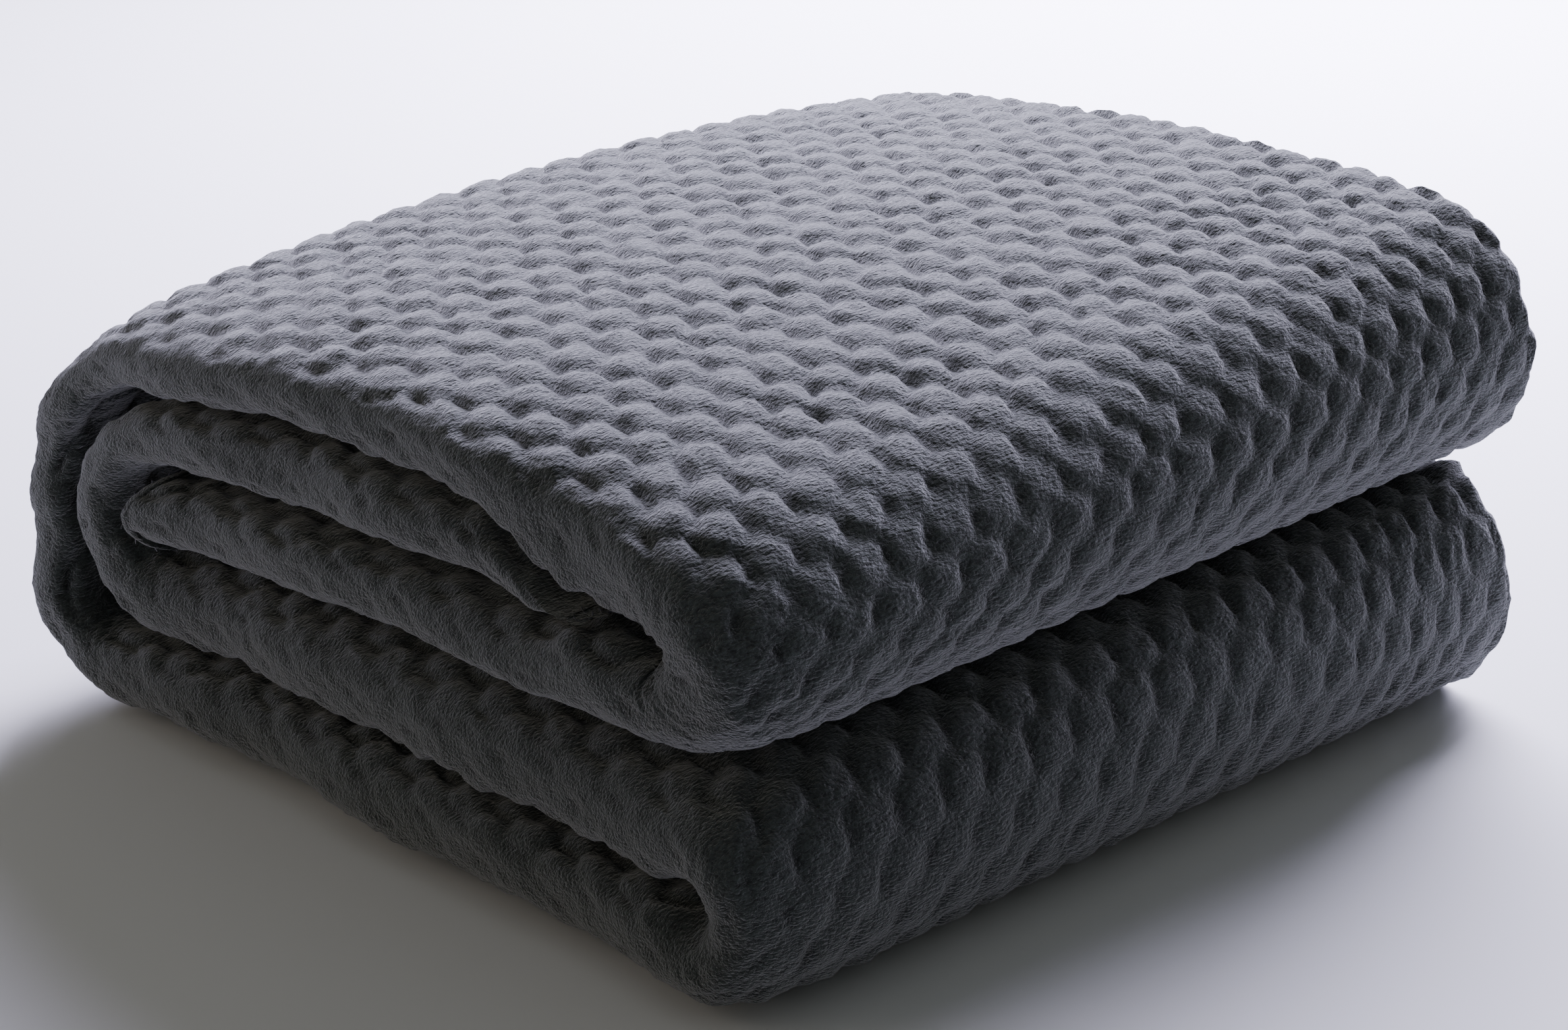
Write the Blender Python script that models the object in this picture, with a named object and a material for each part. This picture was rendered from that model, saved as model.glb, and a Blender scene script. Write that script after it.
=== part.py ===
"""Folded throw blanket: one fleece cloth, doubled twice and folded into five passes.

The cloth is first doubled twice across its width, which makes a strip of four plies
with a closed fold along -Y, and a fold and two hemmed edges along +Y.  The strip is
then laid up in five passes.  From the bottom they are the bottom panel, the middle
panel, the tucked flap, the inner flap and the top panel.  Seen from -Y the strip runs:
inner flap, inner spine, middle panel, lower nose, bottom panel, outer spine, top
panel, upper nose, tucked flap.

Metres, +Z up.  X runs across the folds, with the spines at -X and the noses at +X.
Y runs along the folds.  The origin is under the middle of the stack, on its base.
"""
import math

import bmesh
import bpy
from mathutils import Vector

# Driving sizes.
STACK_DEPTH = 0.300              # X, spine skin to nose skin
STACK_LENGTH = 0.320             # Y, along the folds
STRIP_THICKNESS = 0.0250         # four plies of fleece, laid flat
LAYER_GAP = 0.0003               # clearance between pieces that lie on each other
SPINE_BASE_INNER_RADIUS = 0.011  # bend from the bottom panel up into the spine
SPINE_TOP_INNER_RADIUS = 0.027   # bend from the spine over into the top panel
PLY_SLIT_DEPTH = 0.008           # how far the open edges at +Y stand apart
PLY_SLIT_WIDTH = 0.0006
HEM_SLACK = 0.0003               # a hem roll is this much thinner than its ply, each side

# Facets.
FOLD_FACETS = 6                  # half round of the closed fold along -Y
EDGE_FACETS = 4                  # half round of the two-ply fold along +Y
BEND_STEP = math.radians(15.0)
HEM_CURVE_RESOLUTION = 2
SHARP_ANGLE = math.radians(40.0)  # edges steeper than this are shaded sharp

# Sizes that follow from them.
PITCH = STRIP_THICKNESS + LAYER_GAP
PLY = STRIP_THICKNESS / 4
HEM_RADIUS = PLY / 2 - HEM_SLACK
OUTER_PLY_V = 1.5 * PLY          # from the centre line to the middle of an outermost ply
SPINE_X = -STACK_DEPTH / 2
NOSE_X = STACK_DEPTH / 2
LOOP_RADIUS = PITCH              # centre line of a turn that holds one pass inside it
TIGHT_RADIUS = PITCH / 2         # centre line of a turn with nothing inside it
HALF_STRIP = STRIP_THICKNESS / 2
SPINE_BASE_RADIUS = SPINE_BASE_INNER_RADIUS + HALF_STRIP
SPINE_TOP_RADIUS = SPINE_TOP_INNER_RADIUS + HALF_STRIP

# Centre-line heights of the five passes.
BOTTOM_Z, MIDDLE_Z, TUCKED_Z, INNER_Z, TOP_Z = (HALF_STRIP + PITCH * n for n in range(5))

# Where the straight stretches end and the bends begin.
BOTTOM_START_X = SPINE_X + HALF_STRIP + SPINE_BASE_RADIUS
TOP_START_X = SPINE_X + HALF_STRIP + SPINE_TOP_RADIUS
INNER_BEND_X = SPINE_X + PITCH + HALF_STRIP + LOOP_RADIUS
UPPER_NOSE_X = NOSE_X - HALF_STRIP - LOOP_RADIUS
LOWER_NOSE_X = NOSE_X - HALF_STRIP - TIGHT_RADIUS
SPINE_WALL_X = SPINE_X + HALF_STRIP
SPINE_WALL_LOW_Z = BOTTOM_Z + SPINE_BASE_RADIUS
SPINE_WALL_HIGH_Z = TOP_Z - SPINE_TOP_RADIUS
FLAP_END_INSET = HEM_RADIUS + LAYER_GAP

# A bend's hem starts along its first facet, so its flat end leans; the hem is cut back by
# as much as that end leans out, to stay clear of the next stretch's hem.
HEM_END_TRIM = HEM_RADIUS * math.sin(BEND_STEP / 2)

# Angle left between the two halves of the inner spine, so its inner face keeps the gap.
INNER_SPINE_SPLIT = LAYER_GAP / (LOOP_RADIUS - HALF_STRIP)

FLEECE_COLOUR = (0.095, 0.099, 0.108, 1.0)
HEM_COLOUR = (0.070, 0.073, 0.080, 1.0)


def clear_scene():
    """Remove the objects that a new file opens with."""
    for old in list(bpy.data.objects):
        bpy.data.objects.remove(old, do_unlink=True)


def fabric(name, colour, roughness):
    """A plain cloth material."""
    material = bpy.data.materials.new(name)
    material.use_nodes = True
    shader = material.node_tree.nodes["Principled BSDF"]
    shader.inputs["Base Color"].default_value = colour
    shader.inputs["Roughness"].default_value = roughness
    shader.inputs["Metallic"].default_value = 0.0
    return material


def half_round(centre_y, centre_v, radius, facets, side):
    """Points of a half circle in the section, from its +v end to its -v end."""
    angles = [math.pi / 2 - math.pi * k / facets for k in range(facets + 1)]
    return [(centre_y + side * radius * math.cos(a), centre_v + radius * math.sin(a))
            for a in angles]


def strip_section():
    """Outline of the four plies across the strip, as (y, v); v is the outward offset.

    -Y is the closed fold round all four plies.  At +Y the outer two plies end in a
    fold of their own, and the inner two end flat, where the hem rolls sit.
    """
    half = STACK_LENGTH / 2
    edge_y = half - PLY
    hem_y = half - 2 * HEM_RADIUS - LAYER_GAP
    slit_y = hem_y - PLY_SLIT_DEPTH
    closed_fold = half_round(HALF_STRIP - half, 0.0, HALF_STRIP, FOLD_FACETS, -1)
    open_fold = half_round(edge_y, PLY + PLY_SLIT_WIDTH / 4, PLY - PLY_SLIT_WIDTH / 4,
                           EDGE_FACETS, 1)
    outline = open_fold
    for slit_v in (0.0, -PLY):
        mouth = PLY_SLIT_WIDTH / 2
        if slit_v < 0.0:
            outline.append((hem_y, slit_v + mouth))
        outline.append((slit_y, slit_v))
        outline.append((hem_y, slit_v - mouth))
    outline.append((hem_y, -HALF_STRIP))
    return outline + closed_fold[::-1]


class Straight:
    """A straight stretch of the strip's centre line in the XZ plane."""

    def __init__(self, start, end, trim_start=LAYER_GAP, trim_end=LAYER_GAP):
        self.along = (Vector(end) - Vector(start)).normalized()
        self.start = Vector(start) + self.along * trim_start
        self.end = Vector(end) - self.along * trim_end

    def outward(self):
        return Vector((-self.along.y, self.along.x))

    def sweep(self, shape, section):
        """Push the section along the stretch."""
        face = lay_section(shape, section, self.start, self.outward())
        travel = self.end - self.start
        grown = bmesh.ops.extrude_face_region(shape, geom=[face])["geom"]
        moved = [item for item in grown if isinstance(item, bmesh.types.BMVert)]
        bmesh.ops.translate(shape, verts=moved, vec=(travel.x, 0.0, travel.y))

    def offset_line(self, offset):
        """The stretch's line, moved outwards."""
        step = self.outward() * offset
        return [self.start + step, self.end + step]


class Bend:
    """A round bend of the centre line about an axis along Y."""

    def __init__(self, centre, radius, start, turn):
        self.centre = Vector(centre)
        self.radius = radius
        self.start = start
        self.turn = turn

    def outward(self, angle):
        ray = Vector((math.cos(angle), math.sin(angle)))
        return ray if self.turn < 0 else -ray

    def steps(self):
        return max(2, round(abs(self.turn) / BEND_STEP))

    def point(self, angle, offset=0.0):
        ray = Vector((math.cos(angle), math.sin(angle)))
        return self.centre + ray * self.radius + self.outward(angle) * offset

    def sweep(self, shape, section):
        """Spin the section about the bend's axis."""
        face = lay_section(shape, section, self.point(self.start), self.outward(self.start))
        bmesh.ops.spin(
            shape, geom=[face, *face.edges, *face.verts],
            cent=(self.centre.x, 0.0, self.centre.y), axis=(0.0, -1.0, 0.0),
            dvec=(0.0, 0.0, 0.0), angle=self.turn, steps=self.steps())

    def offset_line(self, offset):
        """The bend's line at its own facets, moved outwards and trimmed for a hem roll."""
        count = self.steps()
        line = [self.point(self.start + self.turn * k / count, offset)
                for k in range(count + 1)]
        line[0] += (line[1] - line[0]).normalized() * HEM_END_TRIM
        line[-1] += (line[-2] - line[-1]).normalized() * HEM_END_TRIM
        return line


def lay_section(shape, section, origin, outward):
    """Put the section's outline at a point of the centre line, as one face."""
    corners = [shape.verts.new((origin.x + outward.x * v, y, origin.y + outward.y * v))
               for y, v in section]
    return shape.faces.new(corners)


def add_object(name, data, material, collection):
    """Make an object, with its material, in the blanket's collection."""
    made = bpy.data.objects.new(name, data)
    data.materials.append(material)
    collection.objects.link(made)
    return made


def strip_piece(name, stretch, section, material, collection):
    """One stretch of the four-ply strip, as a closed solid."""
    shape = bmesh.new()
    stretch.sweep(shape, section)
    bmesh.ops.holes_fill(shape, edges=shape.edges, sides=0)
    bmesh.ops.recalc_face_normals(shape, faces=shape.faces)
    mesh = bpy.data.meshes.new(name)
    shape.to_mesh(mesh)
    shape.free()
    mesh.shade_smooth()
    mesh.set_sharp_from_angle(angle=SHARP_ANGLE)
    return add_object(name, mesh, material, collection)


def hem_roll(name, line, material, collection):
    """A hem roll: a round tube along the given line, closed at its ends."""
    curve = bpy.data.curves.new(name, "CURVE")
    curve.dimensions = "3D"
    curve.bevel_depth = HEM_RADIUS
    curve.bevel_resolution = HEM_CURVE_RESOLUTION
    curve.use_fill_caps = True
    spline = curve.splines.new("POLY")
    spline.points.add(len(line) - 1)
    for point, place in zip(spline.points, line):
        point.co = (*place, 1.0)
    return add_object(name, curve, material, collection)


def side_hems(name, stretch, material, collection):
    """The cloth's two hemmed side edges on one stretch, at +Y on the inner two plies."""
    y = STACK_LENGTH / 2 - HEM_RADIUS
    for edge, offset in (("first", -PLY / 2), ("second", -OUTER_PLY_V)):
        line = [(p.x, y, p.y) for p in stretch.offset_line(offset)]
        hem_roll(name + "_" + edge + "_side_hem", line, material, collection)


def end_hem(name, x, z, material, collection):
    """The hem across a flap's end: one roll that follows all four plies.

    It starts at one open edge at +Y, goes round the closed fold at -Y, back round the
    two-ply fold at +Y, round the inner fold at -Y and out to the other open edge.
    The outward side of both flaps faces down.
    """
    half = STACK_LENGTH / 2
    ply_z = [z + OUTER_PLY_V - PLY * n for n in range(4)]
    fold_y = HALF_STRIP - half
    edge_y = half - 2 * HEM_RADIUS - LAYER_GAP
    line = [(x, edge_y, ply_z[0])]
    line += [(x, fold_y - y, z + v) for y, v in half_round(0.0, 0.0, OUTER_PLY_V, FOLD_FACETS, 1)]
    back = half_round(half - PLY, z - PLY, PLY / 2, EDGE_FACETS, 1)
    line += [(x, y, v) for y, v in reversed(back)]
    inner = half_round(fold_y, z, PLY / 2, EDGE_FACETS, -1)
    line += [(x, y, v) for y, v in reversed(inner)]
    line.append((x, edge_y, ply_z[1]))
    return hem_roll(name, line, material, collection)


def strip_stretches():
    """Every stretch of the strip, in the order that it runs, by node name."""
    quarter = math.pi / 2
    split = INNER_SPINE_SPLIT / 2
    spine_middle_z = (MIDDLE_Z + INNER_Z) / 2
    upper_nose_z = (TUCKED_Z + TOP_Z) / 2
    lower_nose_z = (BOTTOM_Z + MIDDLE_Z) / 2
    inner_spine = (INNER_BEND_X, spine_middle_z)
    return {
        "inner_flap": Straight(
            (UPPER_NOSE_X, INNER_Z), (INNER_BEND_X, INNER_Z), trim_start=FLAP_END_INSET),
        "inner_spine_top_bend": Bend(inner_spine, LOOP_RADIUS, quarter, quarter - split),
        "inner_spine_base_bend": Bend(
            inner_spine, LOOP_RADIUS, 2 * quarter + split, quarter - split),
        "middle_panel": Straight((INNER_BEND_X, MIDDLE_Z), (LOWER_NOSE_X, MIDDLE_Z)),
        "lower_nose_fold": Bend(
            (LOWER_NOSE_X, lower_nose_z), TIGHT_RADIUS, quarter, -2 * quarter),
        "bottom_panel": Straight((LOWER_NOSE_X, BOTTOM_Z), (BOTTOM_START_X, BOTTOM_Z)),
        "outer_spine_base_bend": Bend(
            (BOTTOM_START_X, SPINE_WALL_LOW_Z), SPINE_BASE_RADIUS, -quarter, -quarter),
        "outer_spine_wall": Straight(
            (SPINE_WALL_X, SPINE_WALL_LOW_Z), (SPINE_WALL_X, SPINE_WALL_HIGH_Z)),
        "outer_spine_top_bend": Bend(
            (TOP_START_X, SPINE_WALL_HIGH_Z), SPINE_TOP_RADIUS, -2 * quarter, -quarter),
        "top_panel": Straight((TOP_START_X, TOP_Z), (UPPER_NOSE_X, TOP_Z)),
        "upper_nose_fold": Bend(
            (UPPER_NOSE_X, upper_nose_z), LOOP_RADIUS, quarter, -2 * quarter),
        "tucked_flap": Straight(
            (UPPER_NOSE_X, TUCKED_Z), (INNER_BEND_X, TUCKED_Z), trim_end=FLAP_END_INSET),
    }


def build_blanket():
    """Make every stretch of the cloth and its hems."""
    clear_scene()
    collection = bpy.data.collections.new("folded_throw_blanket")
    bpy.context.scene.collection.children.link(collection)
    fleece = fabric("charcoal_fleece", FLEECE_COLOUR, 0.95)
    hem = fabric("stitched_hem", HEM_COLOUR, 0.9)
    section = strip_section()
    for name, stretch in strip_stretches().items():
        strip_piece(name, stretch, section, fleece, collection)
        side_hems(name, stretch, hem, collection)
    end_hem("inner_flap_end_hem", UPPER_NOSE_X, INNER_Z, hem, collection)
    end_hem("tucked_flap_end_hem", INNER_BEND_X, TUCKED_Z, hem, collection)


build_blanket()
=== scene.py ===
"""Folded throw blanket in charcoal popcorn fleece: the looks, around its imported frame.

Metres, +Z up.  X runs across the folds, with the spines at -X and the noses at +X.
Y runs along the folds, with the cloth's closed fold at -Y and its hemmed edges at +Y.
"""
import math

import bpy
import numpy as np
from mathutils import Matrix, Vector


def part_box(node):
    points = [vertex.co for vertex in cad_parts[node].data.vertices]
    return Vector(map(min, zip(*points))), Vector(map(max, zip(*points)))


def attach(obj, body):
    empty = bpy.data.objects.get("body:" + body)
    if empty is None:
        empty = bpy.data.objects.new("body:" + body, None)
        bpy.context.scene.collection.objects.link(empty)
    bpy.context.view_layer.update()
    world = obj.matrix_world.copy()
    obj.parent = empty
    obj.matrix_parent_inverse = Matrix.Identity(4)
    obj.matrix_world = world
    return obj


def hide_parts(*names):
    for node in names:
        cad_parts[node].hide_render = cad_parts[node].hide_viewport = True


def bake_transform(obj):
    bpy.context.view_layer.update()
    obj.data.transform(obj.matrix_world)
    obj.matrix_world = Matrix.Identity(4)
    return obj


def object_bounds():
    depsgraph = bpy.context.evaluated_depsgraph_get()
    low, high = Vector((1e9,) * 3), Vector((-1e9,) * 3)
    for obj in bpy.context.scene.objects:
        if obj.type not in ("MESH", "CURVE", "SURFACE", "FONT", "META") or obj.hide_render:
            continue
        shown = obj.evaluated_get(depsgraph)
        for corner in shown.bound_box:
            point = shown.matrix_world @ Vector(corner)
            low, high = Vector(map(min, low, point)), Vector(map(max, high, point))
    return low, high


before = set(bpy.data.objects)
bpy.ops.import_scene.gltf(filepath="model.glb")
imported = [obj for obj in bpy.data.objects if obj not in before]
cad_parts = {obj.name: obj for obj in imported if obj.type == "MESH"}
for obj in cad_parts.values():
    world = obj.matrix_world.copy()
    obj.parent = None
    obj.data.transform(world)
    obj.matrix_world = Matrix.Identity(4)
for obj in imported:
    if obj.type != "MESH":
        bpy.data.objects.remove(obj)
cad_low, cad_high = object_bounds()


# --- Studio -----------------------------------------------------------------------
# A white seamless paper floor, and a long lens looking down on the closed end and the
# noses.  One large soft light behind the blanket grazes the pile on its top, and a weak
# warm one fills the closed end.

def linear(code):
    """A linear RGBA colour from an sRGB hex code."""
    parts = [int(code[i:i + 2], 16) / 255 for i in (1, 3, 5)]
    return (*(c / 12.92 if c <= 0.04045 else ((c + 0.055) / 1.055) ** 2.4 for c in parts), 1.0)


def add_node(tree, kind, settings=None, links=None):
    """Add a shader node.  Settings go to its properties, links and values to its sockets."""
    made = tree.nodes.new(kind)
    for key, value in (settings or {}).items():
        setattr(made, key, value)
    for key, value in (links or {}).items():
        if isinstance(value, bpy.types.NodeSocket):
            tree.links.new(value, made.inputs[key])
        else:
            made.inputs[key].default_value = value
    return made


def new_material(name):
    """A material with an empty node tree, and its output node."""
    made = bpy.data.materials.new(name)
    made.use_nodes = True
    made.node_tree.nodes.clear()
    return made, made.node_tree, made.node_tree.nodes.new("ShaderNodeOutputMaterial")


def aimed(made, place, target):
    """Put a camera or light at a place and turn it to a target."""
    made.location = place
    made.rotation_euler = (Vector(target) - Vector(place)).to_track_quat("-Z", "Y").to_euler()
    bpy.context.scene.collection.objects.link(made)
    return made


CAMERA_TARGET = Vector((0.0135, -0.0142, 0.0579))
CAMERA_AZIMUTH = math.radians(45.9)
CAMERA_ELEVATION = math.radians(21.7)
CAMERA_DISTANCE = 1.311
lens = bpy.data.cameras.new("studio_camera")
lens.lens = 110.5
lens.sensor_width = 36.0
toward_camera = Vector((
    math.sin(CAMERA_AZIMUTH) * math.cos(CAMERA_ELEVATION),
    -math.cos(CAMERA_AZIMUTH) * math.cos(CAMERA_ELEVATION),
    math.sin(CAMERA_ELEVATION)))
camera = aimed(bpy.data.objects.new("studio_camera", lens),
               CAMERA_TARGET + toward_camera * CAMERA_DISTANCE, CAMERA_TARGET)
bpy.context.scene.camera = camera

for name, place, size, power, colour in (
        ("back_softbox", (-0.38, 0.70, 0.52), 0.75, 66.0, "#e3e0fd"),
        ("left_fill", (-0.8, -1.2, 0.5), 1.0, 3.0, "#ffeed8")):
    panel = bpy.data.lights.new(name, "AREA")
    panel.shape = "SQUARE"
    panel.size = size
    panel.energy = power
    panel.color = linear(colour)[:3]
    aimed(bpy.data.objects.new(name, panel), place, (0.0, 0.0, 0.05))

sky = bpy.data.worlds.new("studio_air")
sky.use_nodes = True
sky.node_tree.nodes["Background"].inputs["Color"].default_value = linear("#eff4f1")
sky.node_tree.nodes["Background"].inputs["Strength"].default_value = 0.17
bpy.context.scene.world = sky

FLOOR_REACH = 6.0
FLOOR_DROP = 0.0004              # below the frame's underside
floor_mesh = bpy.data.meshes.new("paper_floor")
floor_mesh.from_pydata([(x * FLOOR_REACH, y * FLOOR_REACH, 0.0)
                        for x, y in ((-1, -1), (1, -1), (1, 1), (-1, 1))], [], [(0, 1, 2, 3)])
floor = bpy.data.objects.new("paper_floor", floor_mesh)
floor.location.z = cad_low.z - FLOOR_DROP
bpy.context.scene.collection.objects.link(floor)
paper, tree, out = new_material("white_seamless_paper")
shader = add_node(tree, "ShaderNodeBsdfPrincipled", links={
    "Base Color": linear("#f2f2f4"), "Roughness": 0.9})
tree.links.new(shader.outputs["BSDF"], out.inputs["Surface"])
floor_mesh.materials.append(paper)


# --- The cloth's route --------------------------------------------------------------
# One throw, doubled twice into a strip of four plies, then laid up in five passes.
# The centre line runs inner flap, inner spine, middle panel, lower nose, bottom panel,
# outer spine, top panel, upper nose, tucked flap.

ROW_STEP = 0.0018                # between rows of the mesh, along the strip
BUMP_ROW = 0.0125                # between rows of popcorn bumps, along the strip
FLAP_SHORT = 0.025               # the inner flap stops this far before the upper nose
TUCK_PAST = 0.006                # the tucked flap runs this far into the inner spine
bottom_low, bottom_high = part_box("bottom_panel")
top_low, top_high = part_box("top_panel")
middle_low, middle_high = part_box("middle_panel")
wall_low, wall_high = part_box("outer_spine_wall")
STRIP = bottom_high.z - bottom_low.z
PITCH = middle_low.z - bottom_low.z
HALF = STRIP / 2
LENGTH = cad_high.y - cad_low.y
pass_z = {name: (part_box(name)[0].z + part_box(name)[1].z) / 2 for name in (
    "bottom_panel", "middle_panel", "tucked_flap", "inner_flap", "top_panel")}
wall_x = (wall_low.x + wall_high.x) / 2


def straight_rows(start, end):
    """Rows along a straight stretch: centre, outward normal, and advance of each face."""
    start, end = np.array(start), np.array(end)
    reach = np.linalg.norm(end - start)
    along = (end - start) / reach
    share = np.linspace(0.0, 1.0, max(2, round(reach / ROW_STEP)) + 1)[:, None]
    outward = np.repeat([[-along[1], along[0]]], len(share), axis=0)
    return start + (end - start) * share, outward, np.repeat(share * reach, 3, axis=1)


def bend_rows(centre, radius, start, turn):
    """Rows round a bend.  The popcorn keeps step with the outward face: each other face
    drops a whole number of bump pairs, so the rows meet again after the bend."""
    outer = radius + math.copysign(HALF, -turn)
    outward_run = abs(turn) * outer
    share = np.linspace(0.0, 1.0, max(4, round(max(outer, radius) * abs(turn) / ROW_STEP)) + 1)
    angle = start + turn * share
    ray = np.stack([np.cos(angle), np.sin(angle)], axis=1)
    runs = [outward_run]
    for face_run in (abs(turn) * radius, abs(turn) * (2 * radius - outer)):
        pairs = round((outward_run - face_run) / (2 * BUMP_ROW))
        runs.append(outward_run - pairs * 2 * BUMP_ROW)
    return np.array(centre) + ray * radius, -math.copysign(1, turn) * ray, share[:, None] * runs


quarter = math.pi / 2
inner_spine = (middle_low.x, (pass_z["middle_panel"] + pass_z["inner_flap"]) / 2)
base_radius = wall_low.z - pass_z["bottom_panel"]
top_radius = pass_z["top_panel"] - wall_high.z
nose_x = top_high.x
stretches = {
    "inner_flap": straight_rows(
        (nose_x - FLAP_SHORT, pass_z["inner_flap"]), (middle_low.x, pass_z["inner_flap"])),
    "inner_spine_top_bend": bend_rows(inner_spine, PITCH, quarter, quarter),
    "inner_spine_base_bend": bend_rows(inner_spine, PITCH, 2 * quarter, quarter),
    "middle_panel": straight_rows(
        (middle_low.x, pass_z["middle_panel"]), (bottom_high.x, pass_z["middle_panel"])),
    "lower_nose_fold": bend_rows(
        (bottom_high.x, (pass_z["bottom_panel"] + pass_z["middle_panel"]) / 2),
        PITCH / 2, quarter, -2 * quarter),
    "bottom_panel": straight_rows(
        (bottom_high.x, pass_z["bottom_panel"]), (bottom_low.x, pass_z["bottom_panel"])),
    "outer_spine_base_bend": bend_rows(
        (bottom_low.x, wall_low.z), base_radius, -quarter, -quarter),
    "outer_spine_wall": straight_rows((wall_x, wall_low.z), (wall_x, wall_high.z)),
    "outer_spine_top_bend": bend_rows(
        (top_low.x, wall_high.z), top_radius, -2 * quarter, -quarter),
    "top_panel": straight_rows((top_low.x, pass_z["top_panel"]), (nose_x, pass_z["top_panel"])),
    "upper_nose_fold": bend_rows(
        (nose_x, (pass_z["tucked_flap"] + pass_z["top_panel"]) / 2), PITCH, quarter, -2 * quarter),
    "tucked_flap": straight_rows(
        (nose_x, pass_z["tucked_flap"]), (middle_low.x - TUCK_PAST, pass_z["tucked_flap"])),
}
centres, normals, advances, span = [], [], [], {}
row_count, travelled = 0, np.zeros(3)
for name, (centre, outward, advance) in stretches.items():
    first = 1 if centres else 0
    span[name] = (row_count - first, row_count + len(centre) - 1 - first)
    centres.append(centre[first:])
    normals.append(outward[first:])
    advances.append(advance[first:] + travelled)
    travelled = travelled + advance[-1]
    row_count += len(centre) - first
centres, normals, advances = (np.concatenate(part) for part in (centres, normals, advances))


def rows_of(name):
    """The row numbers of one stretch, both ends included."""
    return np.arange(span[name][0], span[name][1] + 1)


# --- The cloth's section --------------------------------------------------------------
# Across the strip the outermost ply runs round the closed fold at -Y.  At +Y two plies
# share a soft fold, and the other two end at their hems, a little apart.

PLY = STRIP / 4
HEM_SLACK = 0.0003               # a hem roll is this much thinner than its ply, each side
HEM_RADIUS = PLY / 2 - HEM_SLACK
FOLD_SQUARENESS = 3.0            # 2 is a half round; more is a fuller, blunter fold
SHOULDER_SQUARENESS = 2.1        # the same, on the side that faces out of the stack
SHOULDER_EASE = 0.010            # the shoulder starts this much further in from -Y
SLIT_DEPTH = 0.008               # how far in from +Y the plies stand apart
SLIT = 0.0005                    # and by how much
# Between points of the section, on each kind of stretch.
OUTWARD_STEP, FOLD_STEP, INWARD_STEP, EDGE_STEP = 0.0018, 0.0016, 0.0027, 0.0015
OUTWARD, CLOSED_FOLD, INWARD, HEMMED_EDGE, OPEN_FOLD = range(5)
# Where a face's popcorn takes over from the closed fold's, as shares of half the strip.
POPCORN_FROM, POPCORN_TO = 0.45, 0.95


def resampled(points, step):
    """Points at even steps along a line, without its last point."""
    points = np.array(points, float)
    run = np.concatenate([[0.0], np.cumsum(np.linalg.norm(np.diff(points, axis=0), axis=1))])
    at = np.linspace(0.0, run[-1], max(2, round(run[-1] / step)) + 1)[:-1]
    return np.stack([np.interp(at, run, points[:, k]) for k in range(2)], axis=1)


half_length = LENGTH / 2
fold_start = HALF - half_length
edge_y = half_length - PLY
hem_y = half_length - 2 * HEM_RADIUS
slit_y = hem_y - SLIT_DEPTH
closed_fold = []
for squareness, ease, angles in ((SHOULDER_SQUARENESS, SHOULDER_EASE, (quarter, 2 * quarter)),
                                 (FOLD_SQUARENESS, 0.0, (2 * quarter, 3 * quarter))):
    for angle in np.linspace(*angles, 100):
        reach_y = abs(math.cos(angle)) ** (2 / squareness)
        reach_v = abs(math.sin(angle)) ** (2 / squareness)
        closed_fold.append((fold_start + ease - (HALF + ease) * reach_y,
                            math.copysign(HALF * reach_v, math.sin(angle))))
edge_angles = np.linspace(-quarter, quarter, 30)
open_fold = np.stack([edge_y + (PLY - SLIT / 2) * np.cos(edge_angles),
                      PLY + SLIT / 2 + (PLY - SLIT / 2) * np.sin(edge_angles)], axis=1)
parts = [
    (resampled([(edge_y, HALF), (fold_start + SHOULDER_EASE, HALF)], OUTWARD_STEP), OUTWARD),
    (resampled(closed_fold, FOLD_STEP), CLOSED_FOLD),
    (resampled([(fold_start, -HALF), (hem_y, -HALF)], INWARD_STEP), INWARD),
    (resampled([(hem_y, -HALF), (hem_y, -PLY - SLIT / 2), (slit_y, -PLY),
                (hem_y, -PLY + SLIT / 2), (hem_y, -SLIT / 2), (slit_y, 0.0),
                (edge_y, SLIT / 2)], EDGE_STEP), HEMMED_EDGE),
    (resampled(open_fold, EDGE_STEP), OPEN_FOLD)]
outline = np.concatenate([part for part, _ in parts])
region = np.concatenate([np.full(len(part), kind) for part, kind in parts])
step_out = np.linalg.norm(outline - np.roll(outline, 1, axis=0), axis=1)
across = np.cumsum(step_out) - step_out[0]
side = np.roll(outline, -1, axis=0) - np.roll(outline, 1, axis=0)
side /= np.linalg.norm(side, axis=1)[:, None]
section_normal = np.stack([side[:, 1], -side[:, 0]], axis=1)


def eased(value, low, high):
    """0 below low, 1 above high, smooth between."""
    t = np.clip((value - low) / (high - low), 0.0, 1.0)
    return t * t * (3 - 2 * t)


# How much of the popcorn each section point takes from the outward, end and inward face.
fold_v = np.where(region == CLOSED_FOLD, outline[:, 1], np.sign(outline[:, 1]) * HALF)
outward_share = eased(fold_v, POPCORN_FROM * HALF, POPCORN_TO * HALF)
inward_share = eased(-fold_v, POPCORN_FROM * HALF, POPCORN_TO * HALF)
shares = np.stack([outward_share, 1 - outward_share - inward_share, inward_share])
shown = np.where(region == HEMMED_EDGE, 0.0, 1.0)


# --- Popcorn fleece relief ------------------------------------------------------------
# Flannel fleece cut in staggered rounded tufts, with one small dimple beside each.  The
# tufts are a little uneven in place and height, and the knit has a fine grain.

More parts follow.
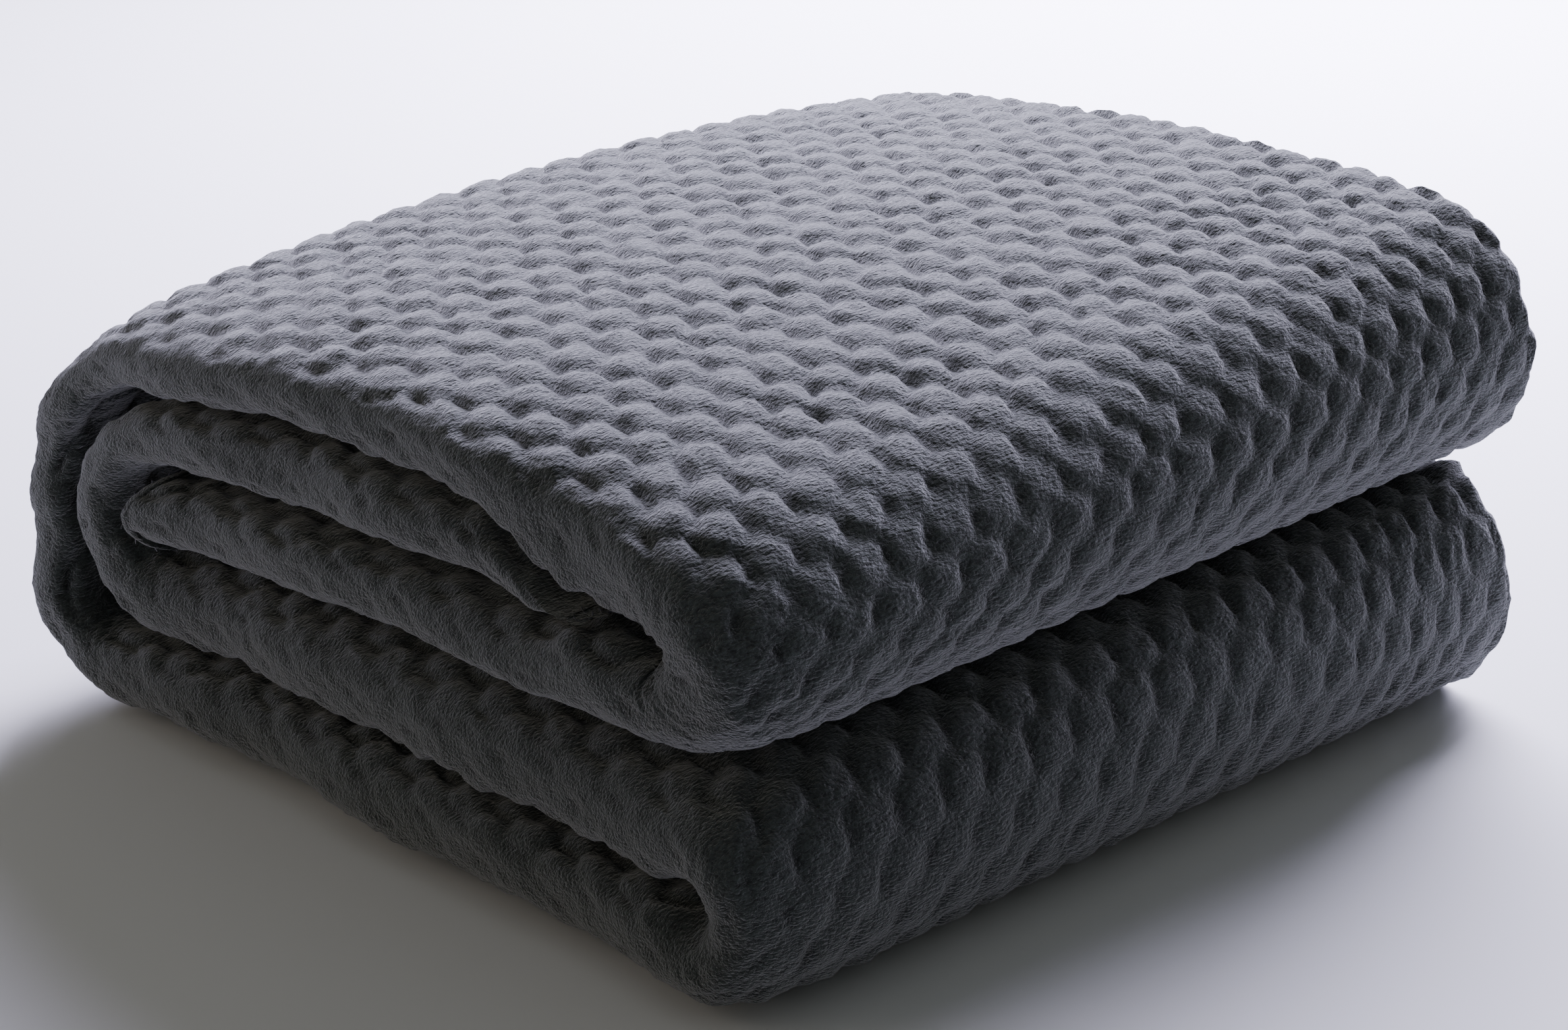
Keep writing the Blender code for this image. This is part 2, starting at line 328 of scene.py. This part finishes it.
BUMP_PITCH = 0.0154              # between bumps of one row, across the strip
BUMP_LEAN = 0.116                # each row stands this much of its step nearer -Y
BUMP_HEIGHT = 0.0027             # from the creases to the top of a tuft
DIMPLE_DEPTH = 0.0008
DEEPEST = 0.0029                 # no point lies further under the tops
DIMPLE_LENGTH = 0.0024           # along the strip
DIMPLE_WIDTH = 0.0015            # across the strip
TUFT_DRIFT = 0.0009              # how far a tuft may stand off its place
TUFT_ROUNDNESS = 1.4
CREASE_WIDTH = 0.14e-4           # square metres; rounds the creases between tufts
UNEVENNESS = 0.18
GRAIN = 0.00010
END_TIGHTNESS = 0.8              # the cloth is drawn tight round its closed fold
NOSE_TIGHTNESS = 0.4             # and less so round the noses
CREASE_SHADE, DIMPLE_SHADE = 0.7, 0.75   # how much painted shade darkens the pile in each, where the pile also parts
rng = np.random.default_rng(11)


def wander(u, v, reach, seed):
    """A smooth field from -1 to 1 that wanders over about the given reach."""
    draw = np.random.default_rng(seed)
    total = 0.0
    waves = 7
    for _ in range(waves):
        angle, phase = draw.uniform(0, math.tau, 2)
        wave = math.tau / (reach * draw.uniform(0.7, 1.6))
        total = total + np.sin((u * math.cos(angle) + v * math.sin(angle)) * wave + phase)
    return total / (waves / 2)


def tufts(s, a, lean):
    """Domes, from 0 where three tufts meet to 1 on top of a tuft, and dimples, 1 at the middle."""
    s = s + TUFT_DRIFT * wander(s, a, reach=0.035, seed=1)
    a = a - lean + TUFT_DRIFT * wander(s, a, reach=0.030, seed=2)
    near, dimple = [], 0.0
    for shift in (0.0, 0.5):
        row = s / (2 * BUMP_ROW) + shift
        row = (row - np.round(row)) * 2 * BUMP_ROW
        place = a / BUMP_PITCH + shift
        place = (place - np.round(place)) * BUMP_PITCH
        near.append(row ** 2 + place ** 2)
        dimple = dimple + np.exp(-(row / DIMPLE_LENGTH) ** 2
                                 - ((np.abs(place) - BUMP_PITCH / 2) / DIMPLE_WIDTH) ** 2)
    nearest = -CREASE_WIDTH * np.logaddexp(-near[0] / CREASE_WIDTH, -near[1] / CREASE_WIDTH)
    reach = (BUMP_ROW ** 2 + (BUMP_PITCH / 2) ** 2) / (2 * BUMP_ROW)
    return np.array([1 - np.clip(nearest / reach ** 2, 0, 1) ** TUFT_ROUNDNESS, dimple])


dome, dimple = sum(
    tufts(advances[:, [k]], across[None, :], BUMP_LEAN * advances[:, [0]]) * shares[k]
    for k in range(3))
grain = rng.standard_normal(dome.shape)
for axis in (0, 1):
    grain = grain + np.roll(grain, 1, axis=axis)
grain *= GRAIN
uneven = 1 + UNEVENNESS * wander(advances[:, [0]], across[None, :], reach=0.05, seed=3)
flatter = np.repeat([1 - END_TIGHTNESS * shares[1]], row_count, axis=0)
for name in ("lower_nose_fold", "upper_nose_fold"):
    rows = rows_of(name)
    round_nose = np.sin(np.linspace(0, math.pi, len(rows)))[:, None] ** 0.5
    flatter[rows] *= 1 - NOSE_TIGHTNESS * round_nose
# Painted shade: the pile's colour darkens in the creases between tufts and in the dimples, where
# the pile also parts.
parted_pile_and_shade = np.clip(1 - CREASE_SHADE * flatter * (1 - dome) - DIMPLE_SHADE * dimple, 0, 1)
sunk = BUMP_HEIGHT * flatter * uneven * (1 - dome) + DIMPLE_DEPTH * dimple
inset = (np.minimum(sunk, DEEPEST) - grain) * shown[None, :]


# --- The laid-up shape ---------------------------------------------------------------
# The soft stack doesn't lie square: it is lowest along the spine, full at the noses and
# crowned in the middle, and the leaves part higher at the nose than at the spine.

leaf_z = (middle_high.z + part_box("tucked_flap")[0].z) / 2
STACK = cad_high.z - cad_low.z
# Heights over the floor at the spine, the middle and the nose, from the -Y end to the +Y.
TOP_HEIGHTS = ((0.104, 0.121, 0.107), (0.1325, 0.135, 0.1343), (0.113, 0.1265, 0.137))
LEAF_HEIGHTS = ((0.049, 0.046, 0.043), (0.060, 0.059, 0.059), (0.0605, 0.063, 0.065))
LEAF_BLEND = 0.004               # half the height where one leaf's shape gives way to the other's
LOWER_NOSE_OUT = 0.0074          # at the -Y end; none at the +Y end
# Out at the -Y end, and less by the second value at the +Y end.
UPPER_NOSE_OUT, UPPER_NOSE_LOSS = 0.0017, 0.0033
SPINE_IN = 0.0030                # at the -Y end
NEAR_SPINE_IN = 0.0043           # how far the -Y end draws in at the spine
# The +Y end draws in: everywhere, more at the noses, and less of that on the upper leaf.
FAR_IN, FAR_NOSE_IN, FAR_NOSE_UPPER = 0.003, 0.021, 0.007
# The lower leaf's -Y end has a shallow dent towards the spine and stands out at the nose.
LOWER_DENT, DENT_PLACE, DENT_REACH, LOWER_NOSE_BULGE = 0.005, 0.3, 0.13, 0.004
NEAR_WAVER, FAR_WAVER, WAVER_REACH = 0.0016, 0.0012, 0.055


def surface(heights, a, b):
    """A smooth surface through three by three heights."""
    weights = [[(1 - t) * (1 - 2 * t), 4 * t * (1 - t), t * (2 * t - 1)] for t in (a, b)]
    return sum(heights[i][j] * weights[0][i] * weights[1][j]
               for i in range(3) for j in range(3))


def laid(place):
    """Move points of the square stack to where the soft one has them."""
    x, y, z = place[..., 0], place[..., 1], place[..., 2]
    a = np.clip((x - cad_low.x) / (cad_high.x - cad_low.x), 0, 1)
    b = np.clip((y - cad_low.y) / (cad_high.y - cad_low.y), 0, 1)
    full = surface(TOP_HEIGHTS, a, b)
    leaf = surface(LEAF_HEIGHTS, a, b)
    low = z / leaf_z * leaf
    high = leaf + (z - leaf_z) / (STACK - leaf_z) * (full - leaf)
    upper = eased(z, leaf_z - LEAF_BLEND, leaf_z + LEAF_BLEND)
    nose, spine = eased(a, 0.5, 1.0) ** 2, eased(a, 0.5, 0.0) ** 2
    near, far = eased(b, 0.5, 0.0) ** 2, eased(b, 0.5, 1.0) ** 2
    nose_out = ((LOWER_NOSE_OUT * (1 - b)) * (1 - upper)
                + (UPPER_NOSE_OUT - UPPER_NOSE_LOSS * b) * upper)
    x = x + nose * nose_out + spine * SPINE_IN * (1 - b)
    y = y + near * NEAR_SPINE_IN * (1 - a) - far * (
        FAR_IN + (FAR_NOSE_IN - FAR_NOSE_UPPER * upper) * a)
    dent = LOWER_DENT * np.exp(-((a - DENT_PLACE) / DENT_REACH) ** 2)
    y = y + near * (1 - upper) * (dent - LOWER_NOSE_BULGE * nose)
    y = y + (near * NEAR_WAVER + far * FAR_WAVER) * wander(x, 2.5 * z, WAVER_REACH, seed=4)
    return np.stack([x, y, low * (1 - upper) + high * upper], axis=-1)


# Inside the upper nose the plies bunch up, and the inner flap thins to a wedge.
inner_shift, outer_shift = np.zeros((row_count, 2)), np.zeros((row_count, 2))
WEDGE_TOP, WEDGE_BASE = 0.0150, 0.0070   # what the flap loses above and below
WEDGE_FROM, TUCK_FROM, WEDGE_TO = 0.045, 0.070, 0.086
CORE_IN, CORE_DROP = 0.004, 0.0015       # where the cloth turns inside the upper nose
CORE_RADIUS = 0.0012             # and how tightly
core = np.array([nose_x - CORE_IN, pass_z["inner_flap"] + HALF - WEDGE_TOP - CORE_DROP])
for name, drop in (("inner_flap", -WEDGE_TOP), ("top_panel", -WEDGE_TOP),
                   ("tucked_flap", WEDGE_BASE)):
    rows = rows_of(name)
    start = WEDGE_FROM if drop < 0 else TUCK_FROM
    inner_shift[rows, 1] = drop * eased(centres[rows, 0], start, WEDGE_TO)
rows = rows_of("inner_flap")
outer_shift[rows, 1] = WEDGE_BASE * eased(centres[rows, 0], TUCK_FROM, WEDGE_TO)
rows = rows_of("upper_nose_fold")
inner_shift[rows] = core + CORE_RADIUS * normals[rows] - (centres[rows] - HALF * normals[rows])
# Both flaps' ends are rounded, and the tucked one nearly fills the inner spine.
TUCK_ROUND, TUCK_ROUND_OVER = 0.008, 0.022
FLAP_ROUND, FLAP_ROUND_OVER = 0.006, 0.020
rounding = np.zeros(row_count)
rows = rows_of("tucked_flap")
rounding[rows] = TUCK_ROUND * eased(
    centres[rows, 0], middle_low.x + TUCK_ROUND_OVER, middle_low.x)
rows = rows_of("inner_flap")
flap_end = nose_x - FLAP_SHORT
rounding[rows] = -FLAP_ROUND * eased(centres[rows, 0], flap_end - FLAP_ROUND_OVER, flap_end)

# The closed ends draw in where a nose folds on itself: place, reach and depth.
pockets = ((core, 0.007, 0.008),
           (np.array([bottom_high.x, (bottom_high.z + middle_low.z) / 2]), 0.006, 0.010))
POCKET_Y = (-0.10, -0.15)        # from here the pockets deepen, to here
route = np.hstack([centres, normals, inner_shift, outer_shift, rounding[:, None]])


def in_stack(rows, y, v, beyond=0.0):
    """Points of the strip, by row, place across and height off the centre line, as laid."""
    here = np.stack([np.interp(rows, np.arange(row_count), part) for part in route.T], axis=1)
    centre, normal, inner, outer, rounded = (
        here[:, None, k:k + 2] for k in (0, 2, 4, 6, 8))
    inward = ((1 - np.clip(v / HALF, -1, 1)) / 2)[..., None] ** 1.5
    square = centre + normal * v[..., None] + inner * inward + outer * (1 - inward) ** 2
    square[..., 0] += rounded[..., 0] * (v / HALF) ** 2 + beyond
    for pocket, reach, depth in pockets:
        away = np.linalg.norm(square - pocket, axis=2)
        y = y + depth * np.exp(-(away / reach) ** 2) * eased(y, *POCKET_Y)
    return laid(np.stack([square[..., 0], y, square[..., 1]], axis=-1))


def grid_normals(grid):
    """Outward normals of closed rings laid one after the other."""
    around = np.roll(grid, -1, axis=-2) - np.roll(grid, 1, axis=-2)
    normal = np.cross(around, np.gradient(grid, axis=-3))
    return normal / (np.linalg.norm(normal, axis=-1, keepdims=True) + 1e-12)


# Passes part a little at their closed folds, which leaves the dark lines between them.
FOLD_PARTING, PARTING_OVER = 0.0015, 0.03
parting = FOLD_PARTING * eased(outline[:, 0], fold_start + PARTING_OVER, fold_start) * shown
cloth = in_stack(np.arange(row_count), outline[:, 0] - inset * section_normal[:, 0],
                 outline[:, 1] * (1 - parting / HALF) - inset * section_normal[:, 1])
cloth_normal = grid_normals(cloth)


# --- Fleece ---------------------------------------------------------------------------
# Polyester flannel fleece, dyed charcoal, knitted, cut into popcorn and brushed.  The
# pile takes no gloss: it scatters light at its tips, so it pales where light grazes it.

fleece, tree, out = new_material("charcoal_popcorn_fleece")
PILE_LENGTH = 0.0024             # one clump of brushed pile
PILE_WIDTH = 0.0007
FIBRE = 0.0011                   # the fine relief between clumps
WORN_PATCH = 0.045               # handling leaves patches a little paler or darker
place = add_node(tree, "ShaderNodeAttribute", {"attribute_name": "laid_place"})
parting_shade_attribute = add_node(tree, "ShaderNodeAttribute", {"attribute_name": "parted_pile_and_shade"})
combed = add_node(tree, "ShaderNodeVectorMath", {"operation": "MULTIPLY"}, {
    0: place.outputs["Vector"], 1: (1 / PILE_WIDTH, 1 / PILE_LENGTH, 1 / PILE_WIDTH)})
streaks = add_node(tree, "ShaderNodeTexNoise", links={
    "Vector": combed.outputs["Vector"], "Scale": 1.0, "Detail": 3.0, "Distortion": 0.4})
fine = add_node(tree, "ShaderNodeTexNoise", links={
    "Vector": place.outputs["Vector"], "Scale": 1 / FIBRE, "Detail": 2.0})
patches = add_node(tree, "ShaderNodeTexNoise", links={
    "Vector": place.outputs["Vector"], "Scale": 1 / WORN_PATCH, "Detail": 2.0})
shade = add_node(tree, "ShaderNodeMapRange", links={
    "Value": streaks.outputs["Fac"], "From Min": 0.3, "From Max": 0.7})
pile_colour = add_node(tree, "ShaderNodeMix", {"data_type": "RGBA"}, {
    0: shade.outputs["Result"], 6: linear("#1a1d1b"), 7: linear("#434a46")})
# Painted shade, with the parted pile: the colour darkens in the creases, dimples and stitch
# pinches.
depth = add_node(tree, "ShaderNodeMapRange", links={
    "Value": parting_shade_attribute.outputs["Fac"], "From Min": 0.1, "From Max": 0.8,
    "To Min": 0.35, "To Max": 1.0})
parted_and_shaded_pile = add_node(tree, "ShaderNodeMix", {"data_type": "RGBA", "blend_type": "MULTIPLY"}, {
    0: 1.0, 6: pile_colour.outputs[2], 7: depth.outputs["Result"]})
worn = add_node(tree, "ShaderNodeMapRange", links={
    "Value": patches.outputs["Fac"], "From Min": 0.3, "From Max": 0.7,
    "To Min": 0.88, "To Max": 1.1})
dyed = add_node(tree, "ShaderNodeMix", {"data_type": "RGBA", "blend_type": "MULTIPLY"}, {
    0: 1.0, 6: parted_and_shaded_pile.outputs[2], 7: worn.outputs["Result"]})
relief = add_node(tree, "ShaderNodeMath", {"operation": "MULTIPLY_ADD"}, {
    0: fine.outputs["Fac"], 1: 0.5, 2: streaks.outputs["Fac"]})
bump = add_node(tree, "ShaderNodeBump", links={
    "Height": relief.outputs["Value"], "Distance": 0.0011, "Strength": 1.0})
shader = add_node(tree, "ShaderNodeBsdfPrincipled", links={
    "Base Color": dyed.outputs[2], "Roughness": 1.0, "Normal": bump.outputs["Normal"],
    "Sheen Weight": 0.7, "Sheen Roughness": 0.5, "Sheen Tint": linear("#ececec"),
    "Specular IOR Level": 0.15})
tree.links.new(shader.outputs["BSDF"], out.inputs["Surface"])

# Spun polyester thread, a shade paler than the cloth.  Its twist gives a fine mottle.
THREAD_TWIST = 0.0009
thread, tree, out = new_material("charcoal_sewing_thread")
place = add_node(tree, "ShaderNodeAttribute", {"attribute_name": "laid_place"})
plies = add_node(tree, "ShaderNodeTexNoise", links={
    "Vector": place.outputs["Vector"], "Scale": 1 / THREAD_TWIST, "Detail": 1.0})
twist = add_node(tree, "ShaderNodeMix", {"data_type": "RGBA"}, {
    0: plies.outputs["Fac"], 6: linear("#26272a"), 7: linear("#6d6d74")})
shader = add_node(tree, "ShaderNodeBsdfPrincipled", links={
    "Base Color": twist.outputs[2], "Roughness": 0.55, "Sheen Weight": 0.2})
tree.links.new(shader.outputs["BSDF"], out.inputs["Surface"])


def made_piece(name, parts):
    """One closed mesh of parts, each with rings of points, normals, pile parting with painted
    shade, and material.
    """
    mesh = bpy.data.meshes.new(name)
    points, faces, owner = [], [], []
    for grid, _, _, number in parts:
        grid = grid.reshape(-1, *grid.shape[-3:])
        index = sum(len(p) for p in points) + np.arange(
            grid[..., 0].size).reshape(grid.shape[:3])
        following = np.roll(index, -1, axis=2)
        quads = np.stack([index[:, :-1], following[:, :-1], following[:, 1:], index[:, 1:]],
                         axis=-1).reshape(-1, 4)
        here = [*quads.tolist(), *index[:, 0, ::-1].tolist(), *index[:, -1].tolist()]
        points.append(grid.reshape(-1, 3))
        faces += here
        owner += [number] * len(here)
    mesh.from_pydata(np.concatenate(points).tolist(), [], faces)
    mesh.shade_smooth()
    for material in (fleece, thread):
        mesh.materials.append(material)
    mesh.polygons.foreach_set("material_index", owner)
    mesh.normals_split_custom_set_from_vertices(
        np.concatenate([part[1].reshape(-1, 3) for part in parts]).tolist())
    mesh.attributes.new("laid_place", "FLOAT_VECTOR", "POINT").data.foreach_set(
        "vector", np.concatenate(points).astype(np.float32).ravel())
    mesh.attributes.new("parted_pile_and_shade", "FLOAT", "POINT").data.foreach_set(
        "value", np.concatenate([part[2].ravel() for part in parts]).astype(np.float32))
    made = bpy.data.objects.new(name, mesh)
    bpy.context.scene.collection.objects.link(made)
    return made


# --- Rolled hems ------------------------------------------------------------------------
# Where a ply ends its edge is rolled over and overcast with thread, which pinches it every
# few millimetres.  Two plies end at +Y all along the strip; all four end on the flaps.

STITCH_PITCH = 0.0042
STITCH_SLANT = 0.0016
STITCH_POINTS = 7                # along one stitch
STITCH_MIDDLE = STITCH_POINTS // 2
STITCH_WRAP = 3.2                # sides of the hem that a stitch covers, each way
THREAD_LIFT, THREAD_SINK = 0.0001, 0.0009    # off the hem, and into it at the ends
THREAD_RADIUS = 0.00028
THREAD_SIDES = 5
PINCH, SQUEEZE = 0.0003, 0.03    # a stitch draws the hem in, and thins it by this share
HEM_UNEVENNESS = 0.05
HEM_THIN = 0.0001                # flatter than it is wide, each side
PALE, STITCH_PRESS_AND_SHADE = 0.85, 0.3      # a hem's pile level, left undarkened, and the painted shade and pressed pile a stitch's pinch adds
HEM_ROWS = 3                     # hem rows to one row of the cloth
HEM_SIDES = 16
HEM_SQUARENESS = 0.8             # 1 is an ellipse; less is squarer
END_ROLL = 0.0024                # half the width of an end hem's roll
END_OUT = 0.0025                 # and how far its middle stands off the flap


def hem_ring(width, depth):
    """The two offsets of each point of a rounded oblong ring."""
    angle = np.linspace(0, math.tau, HEM_SIDES + 1)[:-1]
    return [r * np.sign(f(angle)) * np.abs(f(angle)) ** HEM_SQUARENESS
            for r, f in ((width, np.cos), (depth, np.sin))]


def stitch_places(path):
    """Row numbers of the stitches, evenly spaced along a hem."""
    run = np.concatenate([[0], np.cumsum(np.linalg.norm(np.diff(path, axis=0), axis=1))])
    count = round(run[-1] / STITCH_PITCH)
    middle = (np.arange(count) + 0.5) / count * run[-1]
    return [np.interp(middle + slant * STITCH_SLANT, run, np.arange(len(run)))
            for slant in np.linspace(-0.5, 0.5, STITCH_POINTS)]


def pinch(rows, places):
    """1 at a stitch, 0 half way to the next."""
    middle = places[STITCH_MIDDLE]
    order = np.interp(rows, middle, np.arange(len(middle)))
    return 0.5 + 0.5 * np.cos(math.tau * order)


def stitches(grid, normal, places):
    """Threads over the outer edge of a hem, as thin tubes whose ends sink into it."""
    ring = np.linspace(-STITCH_WRAP, STITCH_WRAP, len(places))
    path, up = [], []
    for row, turn in zip(places, ring):
        low_row, low_turn = np.floor(row).astype(int), math.floor(turn)
        high_row = np.minimum(low_row + 1, len(grid) - 1)
        share, bit = (row - low_row)[:, None], turn - low_turn
        for source, target in ((grid, path), (normal, up)):
            side = [source[:, (low_turn + k) % grid.shape[1]] for k in (0, 1)]
            mixed = side[0] * (1 - bit) + side[1] * bit
            target.append(mixed[low_row] * (1 - share) + mixed[high_row] * share)
    path, up = np.stack(path, axis=1), np.stack(up, axis=1)
    sink = THREAD_SINK * (np.linspace(-1, 1, len(places)) ** 6)
    path = path + up * (THREAD_LIFT - sink)[:, None]
    side = np.cross(np.gradient(path, axis=1), up)
    side /= np.linalg.norm(side, axis=-1, keepdims=True)
    angle = np.linspace(0, math.tau, THREAD_SIDES + 1)[:-1]
    tube = path[:, :, None] + THREAD_RADIUS * (
        np.sin(angle)[:, None] * side[:, :, None] + np.cos(angle)[:, None] * up[:, :, None])
    return tube, grid_normals(tube)


hem_rows = np.linspace(0, row_count - 1, (row_count - 1) * HEM_ROWS + 1)
side_hems = []
for v_middle in (-PLY / 2, -1.5 * PLY):
    middle = np.full((len(hem_rows), 1), hem_y + HEM_RADIUS)
    path = in_stack(hem_rows, middle, np.full_like(middle, v_middle))[:, 0]
    places = stitch_places(path)
    tight = pinch(np.arange(len(hem_rows)), places)[:, None]
    wide, thick = hem_ring(HEM_RADIUS, HEM_RADIUS - HEM_THIN)
    hem_travel = np.interp(hem_rows, np.arange(row_count), advances[:, 1])[:, None]
    fat = (1 - SQUEEZE * tight
           + HEM_UNEVENNESS * wander(hem_travel, v_middle * 9, reach=0.02, seed=5))
    grid = in_stack(hem_rows, middle + wide * fat - PINCH * tight,
                    v_middle + thick * np.minimum(fat, 1.0))
    normal = grid_normals(grid)
    # Painted shade: the hem's colour darkens under each stitch, where it is pinched and its pile
    # pressed.
    pressed_pile_and_shade = np.broadcast_to(PALE - STITCH_PRESS_AND_SHADE * tight, grid.shape[:2])
    side_hems.append((grid, normal, pressed_pile_and_shade, places[STITCH_MIDDLE],
                      *stitches(grid, normal, places)))


def hem_parts(grid, normal, pressed_pile_and_shade, at, tube, tube_normal, first=0, last=None):
    """The parts of a hem between two of its rows, with the stitches whose middles lie there."""
    rows = slice(first, None if last is None else last + 1)
    sewn = (at >= first) & (at < (len(grid) if last is None else last))
    ends = np.zeros(tube[sewn].shape[:-1])
    return [(grid[rows], normal[rows], pressed_pile_and_shade[rows], 0),
            (tube[sewn], tube_normal[sewn], ends, 1)]


def end_hem(name, row, facing):
    """The hem on the free end of a flap: one roll that runs through all four plies."""
    stops = [(hem_y, -1.5 * PLY), (fold_start, -1.5 * PLY)]
    for middle, radius, over, up in (((fold_start, 0.0), 1.5 * PLY, -1, 1),
                                     ((edge_y, PLY), PLY / 2, 1, -1),
                                     ((fold_start, 0.0), PLY / 2, -1, -1)):
        stops += [(middle[0] + over * radius * math.cos(t), middle[1] + up * radius * math.sin(t))
                  for t in np.linspace(-quarter, quarter, 16)]
    stops.append((hem_y, -PLY / 2))
    line = resampled(stops, 0.0012)
    along = np.gradient(line, axis=0)
    along /= np.linalg.norm(along, axis=1)[:, None]
    rows = np.full(len(line), float(row))
    path = in_stack(rows, line[:, [0]], line[:, [1]])[:, 0]
    places = stitch_places(path)
    tight = pinch(np.arange(len(line)), places)[:, None]
    out_of, sideways = hem_ring(END_ROLL, HEM_RADIUS - HEM_THIN)
    fat = 1 - SQUEEZE * tight
    off = sideways * fat * facing
    grid = in_stack(rows, line[:, [0]] + along[:, [1]] * off, line[:, [1]] - along[:, [0]] * off,
                    facing * (END_OUT + out_of * fat - PINCH * tight))
    normal = grid_normals(grid)
    # Painted shade: the end hem's colour darkens under each stitch, where it is pinched and its
    # pile pressed.
    pressed_pile_and_shade = np.broadcast_to(PALE - STITCH_PRESS_AND_SHADE * tight, grid.shape[:2])
    return made_piece(name, hem_parts(
        grid, normal, pressed_pile_and_shade, places[STITCH_MIDDLE], *stitches(grid, normal, places)))


# --- Pieces -----------------------------------------------------------------------------
# Each stretch of cloth and its two side hems move with one body, or stay unattached with their
# transforms baked in.

for name, (first, last) in span.items():
    rows = slice(first, last + 1)
    cloth_made = made_piece(name + "_cloth", [
        (cloth[rows], cloth_normal[rows], parted_pile_and_shade[rows], 0)])
    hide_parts(name)
    hems_made = made_piece(name + "_side_hems", [
        part for hem in side_hems for part in hem_parts(*hem, first * HEM_ROWS, last * HEM_ROWS)])
    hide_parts(name + "_first_side_hem", name + "_second_side_hem")
    stretch_pieces = [cloth_made, hems_made]
    if name in ("inner_flap", "tucked_flap"):
        row, facing = (first, 1) if name == "inner_flap" else (last, -1)
        end_made = end_hem(name + "_hem", row, facing)
        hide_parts(name + "_end_hem")
        stretch_pieces.append(end_made)
    for made in stretch_pieces:
        if name in ("bottom_panel", "middle_panel", "lower_nose_fold"):
            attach(made, "lower_leaf")
        elif name in ("top_panel", "inner_flap", "tucked_flap", "upper_nose_fold"):
            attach(made, "upper_leaf")
        elif name == "outer_spine_wall":
            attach(made, "spine")
        elif name == "outer_spine_base_bend":
            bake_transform(made)
        elif name == "inner_spine_base_bend":
            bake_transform(made)
        elif name == "outer_spine_top_bend":
            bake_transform(made)
        else:
            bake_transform(made)
